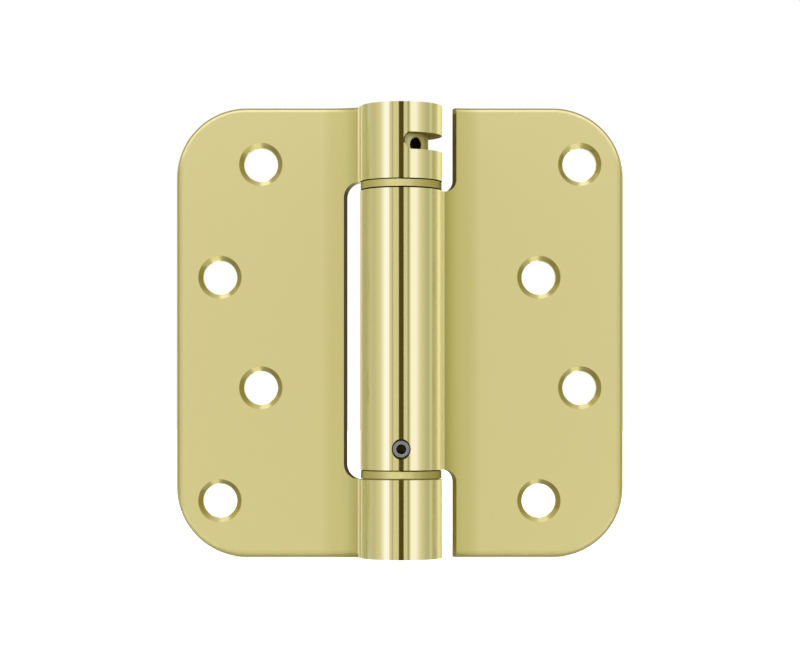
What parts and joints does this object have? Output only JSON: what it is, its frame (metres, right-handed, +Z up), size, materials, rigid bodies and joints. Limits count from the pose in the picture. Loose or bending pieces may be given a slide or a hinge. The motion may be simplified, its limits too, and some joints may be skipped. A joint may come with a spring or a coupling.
{
  "type": "spring hinge",
  "caption": "Self-closing door hinge with rounded leaves, an adjustable torsion spring in its barrel and staggered countersunk screw holes.",
  "frame": {"origin": "on the barrel axis, at half the hinge's height", "axes": "+Z up along the barrel axis, +X towards the door leaf, -Y the way the countersunk faces look, with the hinge opened flat"},
  "size_m": [0.101, 0.0184, 0.1016],
  "materials": {
    "leaf_brass": "satin leaves with polished knuckles",
    "turned_brass": "turned, dull",
    "steel": "turned",
    "spring_steel": "oil tempered"
  },
  "bodies": {
    "frame": {"frame_leaf": "leaf_brass", "lower_bush": "turned_brass", "bottom_plug": "turned_brass"},
    "door": {"door_leaf": "leaf_brass", "upper_bush": "turned_brass", "spring_anchor": "steel", "anchor_pin": "steel", "anchor_washer": "steel", "anchor_clip": "steel", "torsion_spring": "spring_steel"},
    "hub": {"tension_hub": "turned_brass", "hub_washer": "steel", "hub_clip": "steel"}
  },
  "joints": [
    {"name": "leaf_swing", "type": "hinge", "parent": "frame", "child": "door", "pos_m": [0, 0, 0], "axis": [0, 0, -1], "range_deg": [0, 180], "deforming": ["torsion_spring"]},
    {"name": "hub_wind", "type": "hinge", "parent": "frame", "child": "hub", "pos_m": [0, 0, 0.042], "axis": [0, 0, -1], "range_deg": [0, 360], "deforming": ["torsion_spring"]}
  ]
}
